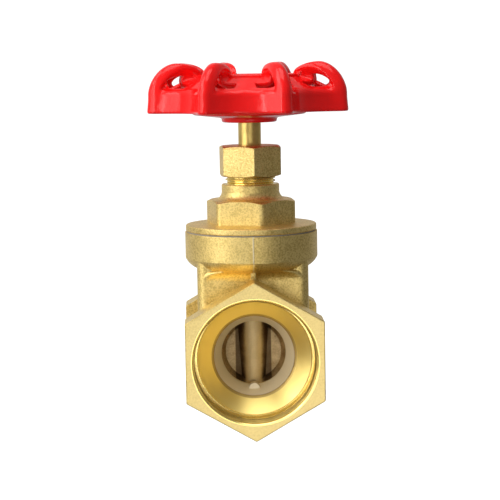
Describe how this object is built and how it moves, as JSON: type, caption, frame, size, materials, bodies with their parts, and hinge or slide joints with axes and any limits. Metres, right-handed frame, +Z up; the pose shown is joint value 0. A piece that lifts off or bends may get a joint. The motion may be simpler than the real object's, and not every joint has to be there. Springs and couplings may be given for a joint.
{
  "type": "gate valve",
  "caption": "Brass wedge gate valve with threaded hexagon pipe ends, screwed bonnet, packed non-rising stem and a lobed red handwheel that lifts the wedge.",
  "frame": {"origin": "where the pipe axis crosses the stem axis, in the middle of the shut wedge", "axes": "+Z up the stem towards the handwheel; +Y along the pipe axis towards the rear port; +X to the right seen from the front port"},
  "size_m": [0.0998, 0.0998, 0.1814],
  "materials": {
    "cast_brass": "sand-cast and blasted, turned on the machined faces",
    "turned_brass": "turned, satin",
    "red_enamel": "glossy baked enamel on a casting",
    "ptfe": "smooth waxy",
    "gasket_fibre": "compressed fibre",
    "zinc_steel": "zinc plated",
    "plate_aluminium": "brushed sheet, no lettering"
  },
  "bodies": {
    "valve_body": {"body": "cast_brass", "bonnet": "cast_brass", "bonnet_gasket": "gasket_fibre", "thrust_washer_lower": "ptfe", "thrust_washer_upper": "ptfe", "packing_ring_1": "ptfe", "packing_ring_2": "ptfe", "packing_ring_3": "ptfe", "gland_follower": "turned_brass", "packing_nut": "cast_brass"},
    "stem_and_wheel": {"stem": "turned_brass", "handwheel": "red_enamel", "name_plate": "plate_aluminium", "spring_washer": "zinc_steel", "wheel_nut": "zinc_steel"},
    "wedge_gate": {"wedge": "cast_brass"}
  },
  "joints": [
    {"name": "wheel_spin", "type": "hinge", "parent": "valve_body", "child": "stem_and_wheel", "pos_m": [0, 0, 0.1], "axis": [0, 0, 1], "range_deg": [0, 4320]},
    {"name": "wedge_lift", "type": "slide", "parent": "valve_body", "child": "wedge_gate", "axis": [0, 0, 1], "range_m": [0, 0.036]}
  ],
  "couplings": [
    {"joint": "wedge_lift", "follows": "wheel_spin", "m_per_rad": 0.00047746}
  ]
}
